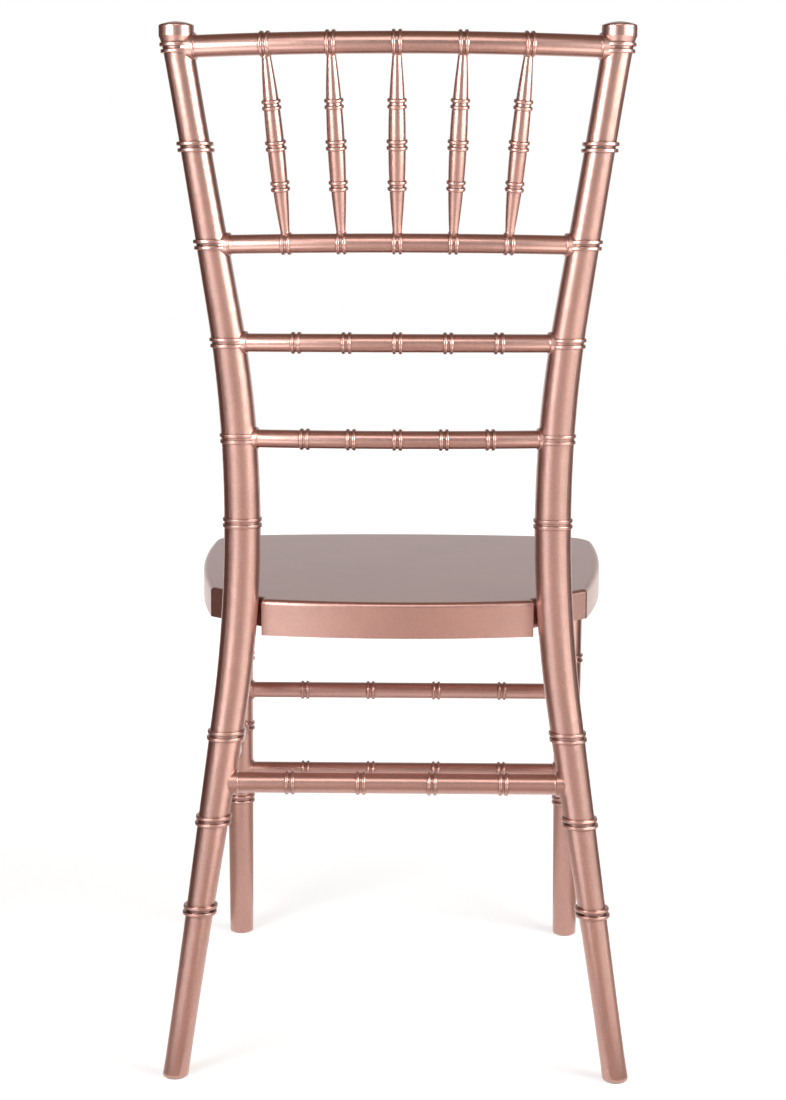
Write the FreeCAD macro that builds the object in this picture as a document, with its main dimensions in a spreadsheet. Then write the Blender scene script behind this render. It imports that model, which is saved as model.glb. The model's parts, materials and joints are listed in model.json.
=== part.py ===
import FreeCAD, Part
import Sketcher
import math
import os

# Chiavari chair, free standing, in millimetres.
# +Z is up, the sitter faces -Y, and +X is the sitter's left.
# The origin lies on the floor under the middle of the chair's bounding box.

V = FreeCAD.Vector

# Driving dimensions: name, value and what it measures. Angles are in degrees.
SIZES = (
    ("chair_depth", 475.8, "front edge of the seat to the back of the crest rail"),
    ("post_knee_height", 496.0, "height where the two straight runs of a rear post would cross"),
    ("post_knee_half_spacing", 123.9, "distance of that crossing from the middle plane"),
    ("post_splay_direction", 46.6, "plan direction in which a post splays, from sideways to backwards"),
    ("post_lower_lean", 11.85, "lean of the lower run of a post"),
    ("post_upper_lean", 12.3, "lean of the upper run of a post"),
    ("post_bend_radius", 865.0, "bend between the two runs"),
    ("post_foot_diameter", 23.5, "post at the floor"),
    ("post_waist_diameter", 32.0, "post at its thickest, beside the seat"),
    ("post_waist_height", 410.0, "height of that thickest place"),
    ("post_top_diameter", 26.8, "post under the finial"),
    ("foot_edge_radius", 1.5, "rounding of the foot's lower edge"),
    ("chair_height", 918.0, "top of the domed finials"),
    ("finial_dome_height", 3.0, "rise of the domed top above the edge of the cap"),
    ("finial_cap_length", 9.2, "upright side of the finial's cap"),
    ("finial_cap_diameter", 29.6, "cap of the finial"),
    ("finial_neck_length", 5.0, "neck of the finial, widening to the cap"),
    ("finial_neck_diameter", 25.0, "neck of the finial"),
    ("bead_width", 3.4, "one half round bead"),
    ("bead_stand", 2.0, "how far a bead stands out of a post or leg"),
    ("slim_bead_stand", 1.6, "how far a bead stands out of a rail, stretcher or spindle"),
    ("bead_pitch", 5.4, "spacing of the two beads of a pair"),
    ("crest_rail_drop", 20.8, "crest rail at its ends, below the top of the finials"),
    ("crest_rail_diameter", 18.6, "crest rail"),
    ("crest_rail_bow", 22.0, "how far the crest rail bows backwards"),
    ("crest_rail_arch", 2.2, "how far the crest rail rises to its middle"),
    ("crest_ring_spacing", 55.0, "spacing of the bead pairs on the crest rail"),
    ("spindle_rail_height", 732.8, "spindle rail at its ends"),
    ("spindle_rail_diameter", 16.3, "spindle rail"),
    ("spindle_rail_bow", 20.0, "how far the spindle rail bows backwards"),
    ("spindle_rail_arch", 1.8, "how far the spindle rail rises to its middle"),
    ("spindle_ring_spacing", 47.4, "spacing of the bead pairs on the spindle rail"),
    ("middle_rail_height", 648.4, "middle back rail"),
    ("middle_rail_diameter", 15.9, "middle back rail"),
    ("middle_rail_bow", 16.0, "how far the middle rail bows backwards"),
    ("middle_rail_arch", 0.5, "how far the middle rail rises to its middle"),
    ("middle_ring_spacing", 43.8, "spacing of the bead pairs on the middle rail"),
    ("lower_rail_height", 564.2, "lower back rail"),
    ("lower_rail_diameter", 15.8, "lower back rail"),
    ("lower_rail_bow", 14.0, "how far the lower rail bows backwards"),
    ("lower_rail_arch", 0.0, "how far the lower rail rises to its middle"),
    ("lower_ring_spacing", 40.5, "spacing of the bead pairs on the lower rail"),
    ("crest_ring_drop", 1.0, "bead pair on the post below the ends of the crest rail"),
    ("seat_ring_rise", 70.1, "bead pair on the post above the seat's rear edge"),
    ("foot_ring_height", 147.5, "lowest bead pair on every leg"),
    ("spindle_end_diameter", 8.0, "spindle where it enters a rail"),
    ("spindle_middle_diameter", 14.8, "spindle at its middle"),
    ("spindle_ring_spacing_along", 34.2, "spacing of the bead pairs along a spindle"),
    ("spindle_socket_depth", 6.0, "how deep a spindle sits in its rails"),
    ("front_leg_half_spacing", 173.0, "front leg from the middle plane"),
    ("front_leg_setback", 36.4, "front leg centre behind the front edge of the seat"),
    ("front_leg_foot_diameter", 24.4, "front leg at the floor"),
    ("front_leg_top_diameter", 30.0, "front leg under the seat"),
    ("leg_spigot_diameter", 16.0, "round tenon on top of a front leg"),
    ("front_upper_stretcher_height", 264.5, "upper front stretcher"),
    ("front_lower_stretcher_height", 178.0, "lower front stretcher"),
    ("side_upper_stretcher_height", 301.0, "upper side stretchers"),
    ("side_lower_stretcher_height", 226.0, "lower side stretchers"),
    ("rear_stretcher_height", 258.5, "rear stretcher"),
    ("stretcher_diameter", 16.4, "front and side stretchers"),
    ("rear_stretcher_diameter", 18.4, "rear stretcher"),
    ("flare", 2.0, "how much wider a member gets where it meets its post"),
    ("tenon_diameter", 11.0, "round tenon on the end of every rail and stretcher"),
    ("tenon_length", 6.0, "length of that tenon"),
    ("fit_clearance", 0.1, "radial clearance of a tenon or spindle in its socket"),
    ("end_clearance", 0.3, "room left under the end of a tenon"),
    ("seat_reach", 9.9, "rear edge of the seat behind the post's centre, at the middle"),
    ("seat_rear_height", 419.4, "seat top at the middle of its rear edge"),
    ("seat_slope", 1.05, "rise of the seat top towards the front"),
    ("seat_corner_half_width", 194.5, "front corner of the seat before rounding"),
    ("seat_corner_setback", 17.4, "that corner behind the front edge"),
    ("seat_corner_radius", 38.0, "rounding of the front corners"),
    ("seat_widest_half_width", 197.4, "widest place of the seat"),
    ("seat_widest_setback", 93.5, "widest place behind the front edge"),
    ("ear_overhang", 32.4, "outer rear corner of the seat, outside the post's centre"),
    ("ear_lead", 66.0, "that corner ahead of the post's centre"),
    ("notch_gap", 2.8, "sideways gap between the seat's notch and the post"),
    ("notch_lead", 14.0, "inner corner of the notch ahead of the post's centre"),
    ("rear_edge_bow", 14.0, "how far the rear edge bows backwards"),
    ("seat_edge_radius", 4.5, "rounding of the seat's upper edge"),
    ("ear_corner_radius", 6.0, "rounding of the ears' corners"),
    ("panel_thickness", 9.4, "seat panel at its rear edge"),
    ("side_apron_height", 16.5, "front and side aprons, below the panel"),
    ("rear_apron_height", 22.8, "rear apron, below the panel"),
    ("apron_thickness", 18.0, "front and rear aprons"),
    ("side_apron_thickness", 13.0, "side aprons"),
    ("front_block_width", 33.0, "front corner block, sideways"),
    ("front_block_length", 44.0, "front corner block, front to back"),
    ("rear_block_width", 30.0, "rear corner block, inwards from the notch"),
    ("rear_block_length", 42.0, "rear corner block, ahead of the rear apron"),
    ("tongue_width", 18.0, "tongue of the rear block that reaches the post"),
    ("tongue_housing", 3.0, "how deep the tongue sits in the post"),
    ("seat_bolt_diameter", 6.0, "bolt through the rear block into the post"),
    ("seat_bolt_head_diameter", 10.0, "head of that bolt"),
    ("seat_bolt_head_height", 6.0, "head of that bolt"),
    ("seat_bolt_socket", 5.0, "key socket in the bolt's head"),
    ("insert_diameter", 9.0, "threaded insert in the post"),
    ("insert_length", 11.0, "threaded insert in the post"),
    ("screw_diameter", 4.0, "screws that hold the corner blocks to the panel"),
    ("screw_head_diameter", 8.0, "head of those screws"),
    ("screw_length", 22.5, "those screws, with the head"),
    ("glide_diameter", 18.0, "plastic glide under each foot"),
    ("glide_height", 1.0, "how far a glide stands out of its foot"),
    ("glide_stem_diameter", 6.0, "stem of a glide"),
    ("glide_stem_length", 12.0, "stem of a glide"),
)

doc = FreeCAD.newDocument("chiavari_chair")
sheet = doc.addObject("Spreadsheet::Sheet", "Sizes")
for row, (alias, value, note) in enumerate(SIZES, 1):
    sheet.set("A%d" % row, alias)
    sheet.set("B%d" % row, str(value))
    sheet.set("C%d" % row, note)
    sheet.setAlias("B%d" % row, alias)
doc.recompute()

NODES = []


def size(alias):
    return float(getattr(sheet, alias))


def bind(thing, prop, expression):
    thing.setExpression(prop, expression)


def cell(alias):
    return "Sizes." + alias


def keep(thing, name):
    thing.Label = name
    NODES.append(thing)
    return thing


# Placing things

def along(start, direction):
    """Placement at start whose local Z points along direction."""
    return FreeCAD.Placement(start, FreeCAD.Rotation(V(0, 0, 1), direction))


def origin_plane(body, role):
    return next(f for f in body.Origin.OriginFeatures if f.Role == role)


def new_body(name, placement=None):
    body = doc.addObject("PartDesign::Body", name)
    if placement:
        body.Placement = placement
    return body


def new_sketch(body, name, role, offset):
    sketch = body.newObject("Sketcher::SketchObject", name)
    sketch.AttachmentSupport = [(origin_plane(body, role), "")]
    sketch.MapMode = "FlatFace"
    sketch.AttachmentOffset = offset
    return sketch


def add_cylinder(body, name, start, direction, radius, height, cut=False):
    """Cylinder from start along direction; radius is an expression, height a number."""
    kind = "PartDesign::SubtractiveCylinder" if cut else "PartDesign::AdditiveCylinder"
    feature = body.newObject(kind, name)
    feature.Placement = along(start, direction)
    feature.Height = height
    bind(feature, "Radius", radius)
    return feature


def add_box(body, name, corner, extent, cut=False, rotation=None):
    kind = "PartDesign::SubtractiveBox" if cut else "PartDesign::AdditiveBox"
    feature = body.newObject(kind, name)
    feature.Length = extent.x
    feature.Width = extent.y
    feature.Height = extent.z
    feature.Placement = FreeCAD.Placement(corner, rotation or FreeCAD.Rotation())
    return feature


# Each bead is a disc through its member, with a rounded rim

def add_bead(body, name, centre, axis, radius):
    """Disc about axis; radius is an expression."""
    start = centre - axis * (size("bead_width") / 2)
    disc = add_cylinder(body, name, start, axis, radius, 1)
    bind(disc, "Height", "Sizes.bead_width")
    return disc


def round_beads(body, share=0.45):
    """Rounds the rims of all discs of the body, by this share of a bead's width."""
    discs = [thing for thing in body.Group if thing.Name.startswith("ring_")]

    def on_rim(edge):
        for disc in discs:
            radius = disc.Radius.Value
            if abs(edge.Length - 2 * math.pi * radius) > 0.01:
                continue
            axis = disc.Placement.Rotation.multVec(V(0, 0, 1))
            shift = edge.CenterOfMass - disc.Placement.Base
            height = shift.dot(axis)
            if (shift - axis * height).Length < 0.01 and min(abs(height), abs(height - disc.Height.Value)) < 0.01:
                return True
        return False

    add_fillet(body, "rounded_rims", "Sizes.bead_width * %.2f" % share, on_rim)


def add_bead_pair(body, name, centre, axis, radius):
    half = size("bead_pitch") / 2
    for side, shift in (("low", -half), ("high", half)):
        add_bead(body, name + "_" + side, centre + axis * shift, axis, radius)


def add_fillet(body, name, radius, chosen):
    """Fillet of every edge of the body for which chosen(edge) holds."""
    doc.recompute()
    base = body.Tip
    edges = ["Edge%d" % i for i, edge in enumerate(base.Shape.Edges, 1) if chosen(edge)]
    feature = body.newObject("PartDesign::Fillet", name)
    feature.Base = (base, edges)
    bind(feature, "Radius", radius)
    return feature


def mirror(source, name):
    """The same piece on the other side of the middle plane."""
    copy = doc.addObject("Part::Mirroring", name)
    copy.Source = source
    copy.Base = V(0, 0, 0)
    copy.Normal = V(1, 0, 0)
    return keep(copy, name)


def draw_profile(sketch, points, arcs):
    """Closed outline through points, each (x, y) with both zero or more.

    A coordinate is a number, or a pair of a number and the expression that drives it.
    arcs maps the number of an edge to (point on the arc, fixed centre coordinate).
    """
    flat = []
    for point in points:
        flat.append([part[0] if isinstance(part, tuple) else part for part in point])
    count = len(points)
    edges = []
    for i in range(count):
        start = V(flat[i][0], flat[i][1], 0)
        end = V(flat[(i + 1) % count][0], flat[(i + 1) % count][1], 0)
        if i in arcs:
            middle = arcs[i][0]
            edges.append(Part.Arc(start, V(middle[0], middle[1], 0), end))
        else:
            edges.append(Part.LineSegment(start, end))
    sketch.addGeometry(edges, False)
    starts = []
    for i in range(count):
        real = sketch.Geometry[i]
        is_start = (real.StartPoint - V(flat[i][0], flat[i][1], 0)).Length < 1e-4
        starts.append((1, 2) if is_start else (2, 1))
    for i in range(count):
        following = (i + 1) % count
        sketch.addConstraint(Sketcher.Constraint("Coincident", i, starts[i][1], following, starts[following][0]))
    for i in range(count):
        for part, word, axis in ((0, "DistanceX", -2), (1, "DistanceY", -1)):
            value = points[i][part]
            number, expression = value if isinstance(value, tuple) else (value, None)
            if number == 0 and expression is None:
                sketch.addConstraint(Sketcher.Constraint("PointOnObject", i, starts[i][0], axis))
                continue
            index = sketch.addConstraint(Sketcher.Constraint(word, -1, 1, i, starts[i][0], number))
            if expression:
                bind(sketch, "Constraints[%d]" % index, expression)
    for i in arcs:
        word = arcs[i][1]
        centre = sketch.Geometry[i].Center
        if word == "on_y_axis":
            sketch.addConstraint(Sketcher.Constraint("PointOnObject", i, 3, -2))
        elif word == "level":
            sketch.addConstraint(Sketcher.Constraint("DistanceY", -1, 1, i, 3, centre.y))
        else:
            sketch.addConstraint(Sketcher.Constraint("Radius", i, sketch.Geometry[i].Radius))
    return sketch


def plain_circle(sketch, x, diameter, number):
    """Circle with its centre on the sketch's horizontal axis; diameter is an expression."""
    sketch.addGeometry(Part.Circle(V(x, 0, 0), V(0, 0, 1), number / 2), False)
    sketch.addConstraint(Sketcher.Constraint("PointOnObject", 0, 3, -1))
    if x:
        sketch.addConstraint(Sketcher.Constraint("DistanceX", -1, 1, 0, 3, x))
    else:
        sketch.addConstraint(Sketcher.Constraint("PointOnObject", 0, 3, -2))
    index = sketch.addConstraint(Sketcher.Constraint("Diameter", 0, number))
    bind(sketch, "Constraints[%d]" % index, diameter)


# Where the rear posts run. A post is bent in one upright plane, turned towards the back corner.

lower_lean = math.radians(size("post_lower_lean"))
upper_lean = math.radians(size("post_upper_lean"))
splay = math.radians(size("post_splay_direction"))
knee = V(0, size("post_knee_height"), 0)
half_turn = (lower_lean + upper_lean) / 2
bend_reach = size("post_bend_radius") * math.tan(half_turn)


def on_lower_run(distance):
    return knee + V(math.sin(lower_lean), -math.cos(lower_lean), 0) * distance


def on_upper_run(distance):
    return knee + V(math.sin(upper_lean), math.cos(upper_lean), 0) * distance


bend_start = on_lower_run(bend_reach)
bend_end = on_upper_run(bend_reach)
bisector = V(math.sin(lower_lean) + math.sin(upper_lean), math.cos(upper_lean) - math.cos(lower_lean), 0)
bisector.normalize()
bend_centre = knee + bisector * (size("post_bend_radius") / math.cos(half_turn))
bend_middle = bend_centre - bisector * size("post_bend_radius")


def post_offset(height):
    """How far the post's centre line lies from the knee at this height, in its own plane."""
    if height < bend_start.y:
        return (knee.y - height) * math.tan(lower_lean)
    if height > bend_end.y:
        return (height - knee.y) * math.tan(upper_lean)
    rise = height - bend_centre.y
    return bend_centre.x - math.sqrt(size("post_bend_radius") ** 2 - rise ** 2)


def post_lean(height):
    """Lean of the centre line at this height, positive where the post leans out as it rises."""
    step = 0.5
    return math.atan((post_offset(height + step) - post_offset(height - step)) / (2 * step))


# Heights counted down from the top of the finials
cap_rim = size("chair_height") - size("finial_dome_height")
cap_start = cap_rim - size("finial_cap_length")
finial_start = cap_start - size("finial_neck_length")
crest_rail_height = size("chair_height") - size("crest_rail_drop")


def post_radius(height):
    waist = size("post_waist_height")
    if height < waist:
        low, high = size("post_foot_diameter"), size("post_waist_diameter")
        return (low + (high - low) * height / waist) / 2
    low, high = size("post_waist_diameter"), size("post_top_diameter")
    return (low + (high - low) * (height - waist) / (finial_start - waist)) / 2


crest_back = (post_offset(crest_rail_height) * math.sin(splay) + size("crest_rail_bow")
              + size("crest_rail_diameter") / 2 + size("slim_bead_stand"))
knee_back = size("chair_depth") / 2 - crest_back
seat_front = -size("chair_depth") / 2
front_leg_y = seat_front + size("front_leg_setback")
POST_PLACEMENT = FreeCAD.Placement(
    V(size("post_knee_half_spacing"), knee_back, 0),
    FreeCAD.Rotation(V(0, 0, 1), math.degrees(splay)))


def post_point(height):
    """Centre line of the left rear post at this height."""
    return POST_PLACEMENT.multVec(V(post_offset(height), 0, height))


# The seat's rear edge and its notches follow the posts

underside = size("seat_rear_height") - size("panel_thickness")
side_bottom = underside - size("side_apron_height")
rear_bottom = underside - size("rear_apron_height")
post_at_seat = post_point(underside)
seat_back = post_at_seat.y + size("seat_reach")
seat_depth = seat_back - seat_front
notch_x = post_at_seat.x - post_radius(underside) - size("notch_gap")
notch_y = post_at_seat.y - size("notch_lead")
ear_x = post_at_seat.x + size("ear_overhang")
ear_y = post_at_seat.y - size("ear_lead")
rear_corner_y = seat_back - size("rear_edge_bow")


def front_leg_point(height):
    return V(size("front_leg_half_spacing"), front_leg_y, height)


def front_leg_radius(height):
    low, high = size("front_leg_foot_diameter"), size("front_leg_top_diameter")
    return (low + (high - low) * height / side_bottom) / 2


# Joints between round members. A member ends in a flared collar that sits in a counterbore of the
# post, with a round tenon behind it.

class Joint:
    def __init__(self, centre, direction, host_radius, collar_radius, reach):
        self.centre = centre
        self.direction = direction
        self.collar_radius = collar_radius
        self.shoulder = math.sqrt(host_radius ** 2 - collar_radius ** 2) - reach
        self.face = host_radius + reach
        self.tip = self.shoulder - size("tenon_length")
        self.mouth = host_radius + 3 * size("bead_stand")

    def at(self, distance):
        return self.centre + self.direction * distance


def add_member_end(body, name, joint, member_diameter):
    """Collar and tenon of a member, in the body's own frame."""
    back = body.Placement.inverse()
    turn = back.Rotation
    start = back.multVec(joint.at(joint.shoulder))
    direction = turn.multVec(joint.direction)
    add_cylinder(body, name + "_collar", start, direction,
                 "Sizes.%s / 2 + Sizes.flare" % member_diameter, joint.face - joint.shoulder)
    tip = back.multVec(joint.at(joint.tip))
    add_cylinder(body, name + "_tenon", tip, direction, "Sizes.tenon_diameter / 2",
                 joint.shoulder - joint.tip + 1)


def cut_socket(body, name, joint, member_diameter):
    """Counterbore and blind hole that take the end of a member."""
    back = body.Placement.inverse()
    direction = back.Rotation.multVec(joint.direction)
    add_cylinder(body, name + "_counterbore", back.multVec(joint.at(joint.shoulder)), direction,
                 "Sizes.%s / 2 + Sizes.flare + Sizes.fit_clearance" % member_diameter,
                 joint.mouth - joint.shoulder, cut=True)
    floor = joint.tip - size("end_clearance")
    add_cylinder(body, name + "_socket", back.multVec(joint.at(floor)), direction,
                 "Sizes.tenon_diameter / 2 + Sizes.fit_clearance",
                 joint.shoulder - floor + 1, cut=True)


def fillet_collars(body, joints, member_diameter):
    """Concave fillets where the collars run into the member."""
    back = body.Placement.inverse()
    centres = [back.multVec(joint.at(joint.face)) for joint in joints]
    directions = [back.Rotation.multVec(joint.direction) for joint in joints]
    girth = math.pi * size(member_diameter)

    def at_collar(edge):
        if abs(edge.Length - girth) > 0.04 * girth:
            return False
        middle = edge.Vertexes[0].Point
        flat = [abs((middle - c).dot(d)) < 0.05 and (middle - c).Length < girth / 4
                for c, d in zip(centres, directions)]
        return any(flat)

    add_fillet(body, "collar_fillets", "Sizes.flare - 0.1", at_collar)


# Bowed back rails, each an arc of a ring between the two posts

RAILS = (
    ("crest_rail", "crest_rail", crest_rail_height, "crest_ring_spacing"),
    ("spindle_rail", "spindle_rail", size("spindle_rail_height"), "spindle_ring_spacing"),
    ("middle_back_rail", "middle_rail", size("middle_rail_height"), "middle_ring_spacing"),
    ("lower_back_rail", "lower_rail", size("lower_rail_height"), "lower_ring_spacing"),
)


class BowedRail:
    def __init__(self, key, height):
        self.diameter = key + "_diameter"
        self.height = height
        end = post_point(self.height)
        self.half_chord = end.x
        bow, arch = size(key + "_bow"), size(key + "_arch")
        self.rise = math.hypot(bow, arch)
        self.radius = (self.half_chord ** 2 + self.rise ** 2) / (2 * self.rise)
        self.placement = FreeCAD.Placement(
            V(0, end.y, self.height), FreeCAD.Rotation(V(1, 0, 0), math.degrees(math.atan2(arch, bow))))
        self.post_radius = post_radius(self.height)
        self.end_turn = math.asin((self.half_chord - self.post_radius - 2 * size("flare")) / self.radius)
        direction = V(-math.cos(self.end_turn), math.sin(self.end_turn), 0)
        near = self.local(self.end_turn)
        self.run = (self.half_chord - near.x) / math.cos(self.end_turn)
        collar = size(self.diameter) / 2 + size("flare")
        self.joint = Joint(
            self.placement.multVec(near - direction * self.run),
            self.placement.Rotation.multVec(direction),
            self.post_radius, collar, 0.7 * size("flare"))

    def local(self, turn):
        """Centre line at this angle from the middle plane, in the rail's own frame."""
        return V(self.radius * math.sin(turn), self.rise - self.radius * (1 - math.cos(turn)), 0)

    def at(self, x):
        """Centre line of the rail where it passes x."""
        return self.placement.multVec(self.local(math.asin(x / self.radius)))


def make_bowed_rail(name, key, height, spacing_key):
    rail = BowedRail(key, height)
    body = new_body(name, rail.placement)
    offset = FreeCAD.Placement(V(rail.rise - rail.radius, 0, 0), FreeCAD.Rotation())
    sketch = new_sketch(body, "section", "YZ_Plane", offset)
    plain_circle(sketch, rail.radius, cell(rail.diameter), size(rail.diameter))
    doc.recompute()
    bar = body.newObject("PartDesign::Revolution", "bar")
    bar.Profile = sketch
    bar.ReferenceAxis = (sketch, ["V_Axis"])
    bar.Midplane = True
    bar.Angle = math.degrees(2 * rail.end_turn)
    left = rail.joint
    right = Joint(V(-left.centre.x, left.centre.y, left.centre.z),
                  V(-left.direction.x, left.direction.y, left.direction.z),
                  rail.post_radius, left.collar_radius, 0.7 * size("flare"))
    back = body.Placement.inverse()
    for side, joint in (("left", left), ("right", right)):
        add_cylinder(body, side + "_run", back.multVec(joint.at(joint.face - 1)),
                     back.Rotation.multVec(joint.direction), "Sizes.%s / 2" % rail.diameter,
                     rail.run - joint.face + 1)
        add_member_end(body, side, joint, rail.diameter)
    fillet_collars(body, (left, right), rail.diameter)
    for i in range(-2, 3):
        turn = math.asin(i * size(spacing_key) / rail.radius)
        tangent = V(math.cos(turn), -math.sin(turn), 0)
        add_bead_pair(body, "ring_%d" % (i + 3), rail.local(turn), tangent,
                      "Sizes.%s / 2 + Sizes.slim_bead_stand" % rail.diameter)
    round_beads(body)
    keep(body, name)
    return body, rail


rails = {}
rail_bodies = {}
for node, key, height, spacing in RAILS:
    rail_bodies[node], rails[node] = make_bowed_rail(node, key, height, spacing)


# Spindles, turned to a slender taper at both ends

def spindle_ends(number):
    """Where spindle number -2 to 2 meets the centre lines of its two rails."""
    top = rails["crest_rail"].at(number * size("crest_ring_spacing"))
    bottom = rails["spindle_rail"].at(number * size("spindle_ring_spacing"))
    return bottom, top


def make_spindle(name, number):
    bottom, top = spindle_ends(number)
    axis = top - bottom
    centre_distance = axis.Length
    axis.normalize()
    low = size("spindle_rail_diameter") / 2
    high = centre_distance - size("crest_rail_diameter") / 2
    start = low - size("spindle_socket_depth")
    length = high + size("spindle_socket_depth") - start
    body = new_body(name, along(bottom + axis * start, axis))
    plain = size("spindle_socket_depth") + 1.5 * size("bead_stand")
    end, middle = size("spindle_end_diameter") / 2, size("spindle_middle_diameter") / 2
    slim = (end, "Sizes.spindle_end_diameter / 2")
    full = (middle, "Sizes.spindle_middle_diameter / 2")
    half = length / 2
    shoulder = (plain, "Sizes.spindle_socket_depth + 1.5 * Sizes.bead_stand")
    points = ((0, 0), (slim, 0), (slim, shoulder), (full, half), (slim, length - plain), (slim, length), (0, length))
    rise = half - plain
    bulge_radius = (rise ** 2 + (middle - end) ** 2) / (2 * (middle - end))
    quarter = middle - bulge_radius + math.sqrt(bulge_radius ** 2 - (rise / 2) ** 2)
    arcs = {2: ((quarter, half - rise / 2), "level"), 3: ((quarter, half + rise / 2), "level")}
    sketch = new_sketch(body, "profile", "XZ_Plane", FreeCAD.Placement())
    draw_profile(sketch, points, arcs)
    doc.recompute()
    turned = body.newObject("PartDesign::Revolution", "turned")
    turned.Profile = sketch
    turned.ReferenceAxis = (sketch, ["V_Axis"])
    turned.Angle = 360
    for i in (-1, 0, 1):
        along_axis = half + i * size("spindle_ring_spacing_along")
        waist = middle - bulge_radius + math.sqrt(bulge_radius ** 2 - (along_axis - half) ** 2)
        radius = "Sizes.spindle_middle_diameter / 2 - %.4f + Sizes.slim_bead_stand" % (middle - waist)
        add_bead_pair(body, "ring_%d" % (i + 2), V(0, 0, along_axis), V(0, 0, 1), radius)
    round_beads(body, 0.4)
    keep(body, name)
    return body


# Each spindle stands in a round hole in both rails

def cut_spindle_holes(number):
    bottom, top = spindle_ends(number)
    axis = top - bottom
    axis.normalize()
    radius = "Sizes.spindle_end_diameter / 2 + Sizes.fit_clearance"
    for node, centre, outward in (("crest_rail", top, axis * -1), ("spindle_rail", bottom, axis)):
        body = rail_bodies[node]
        back = body.Placement.inverse()
        surface = size(rails[node].diameter) / 2
        depth = size("spindle_socket_depth") + size("end_clearance")
        start = back.multVec(centre + outward * (surface - depth))
        add_cylinder(body, "spindle_hole_%d" % (number + 3), start, back.Rotation.multVec(outward),
                     radius, depth + 2 * size("bead_stand"), cut=True)


middle_spindle = make_spindle("spindle_middle", 0)
for number, word in ((1, "inner"), (2, "outer")):
    spindle = make_spindle("spindle_%s_left" % word, number)
    mirror(spindle, "spindle_%s_right" % word)
for number in range(-2, 3):
    cut_spindle_holes(number)


# Straight stretchers between two round legs

def make_stretcher(name, diameter, start, end, start_radius, end_radius, reach, pairs):
    """Turned stretcher between two leg axes. Returns the body and the joints at its start and end."""
    axis = end - start
    span = axis.Length
    axis.normalize()
    collar = size(diameter) / 2 + size("flare")
    first = Joint(start, axis, start_radius, collar, reach[0])
    last = Joint(end, axis * -1, end_radius, collar, reach[1])
    body = new_body(name, along(start, axis))
    clear = span - first.face - last.face
    add_cylinder(body, "bar", V(0, 0, first.face - 1), V(0, 0, 1), "Sizes.%s / 2" % diameter, clear + 2)
    add_member_end(body, "start", first, diameter)
    add_member_end(body, "end", last, diameter)
    fillet_collars(body, (first, last), diameter)
    for i in range(pairs):
        distance = span * (i + 1) / (pairs + 1)
        add_bead_pair(body, "ring_%d" % (i + 1), V(0, 0, distance), V(0, 0, 1),
                      "Sizes.%s / 2 + Sizes.slim_bead_stand" % diameter)
    round_beads(body)
    keep(body, name)
    return body, first, last


LEG_REACH = 0.3 * size("flare")
POST_REACH = size("flare")
front_joints = []
post_joints = [(rail.joint, rail.diameter) for rail in rails.values()]

for level in ("upper", "lower"):
    height = size("front_%s_stretcher_height" % level)
    point = front_leg_point(height)
    body, first, last = make_stretcher(
        "front_%s_stretcher" % level, "stretcher_diameter", V(-point.x, point.y, point.z), point,
        front_leg_radius(height), front_leg_radius(height), (LEG_REACH, LEG_REACH), 4)
    front_joints.append((last, "stretcher_diameter"))

height = size("rear_stretcher_height")
point = post_point(height)
rear_stretcher, first, last = make_stretcher(
    "rear_stretcher", "rear_stretcher_diameter", V(-point.x, point.y, point.z), point,
    post_radius(height), post_radius(height), (POST_REACH, POST_REACH), 4)
post_joints.append((last, "rear_stretcher_diameter"))

for level in ("upper", "lower"):
    height = size("side_%s_stretcher_height" % level)
    body, first, last = make_stretcher(
        "side_%s_stretcher_left" % level, "stretcher_diameter", front_leg_point(height), post_point(height),
        front_leg_radius(height), post_radius(height), (LEG_REACH, POST_REACH), 3)
    mirror(body, "side_%s_stretcher_right" % level)
    front_joints.append((first, "stretcher_diameter"))
    post_joints.append((last, "stretcher_diameter"))


# Seat outline: half of it, drawn from the middle plane to the left, with y counted from the front edge

def seat_outline_points():
    corner = (size("seat_corner_half_width"), cell("seat_corner_half_width"))
    corner_y = (size("seat_corner_setback"), cell("seat_corner_setback"))
    return ((0, 0), (corner, corner_y), (ear_x, ear_y - seat_front), (notch_x, notch_y - seat_front),
            (notch_x, rear_corner_y - seat_front), (0, seat_depth))


def bow_radius(half_chord, bow):
    return (half_chord ** 2 + bow ** 2) / (2 * bow)


def seat_outline_arcs():
    corner, setback = size("seat_corner_half_width"), size("seat_corner_setback")
    front = bow_radius(corner, setback)
    front_middle = (corner / 2, front - math.sqrt(front ** 2 - (corner / 2) ** 2))
    rear = bow_radius(notch_x, size("rear_edge_bow"))
    rear_middle = (notch_x / 2, seat_depth - rear + math.sqrt(rear ** 2 - (notch_x / 2) ** 2))
    widest = (size("seat_widest_half_width"), size("seat_widest_setback"))
    return {0: (front_middle, "on_y_axis"), 1: (widest, "radius"), 4: (rear_middle, "on_y_axis")}


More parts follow.
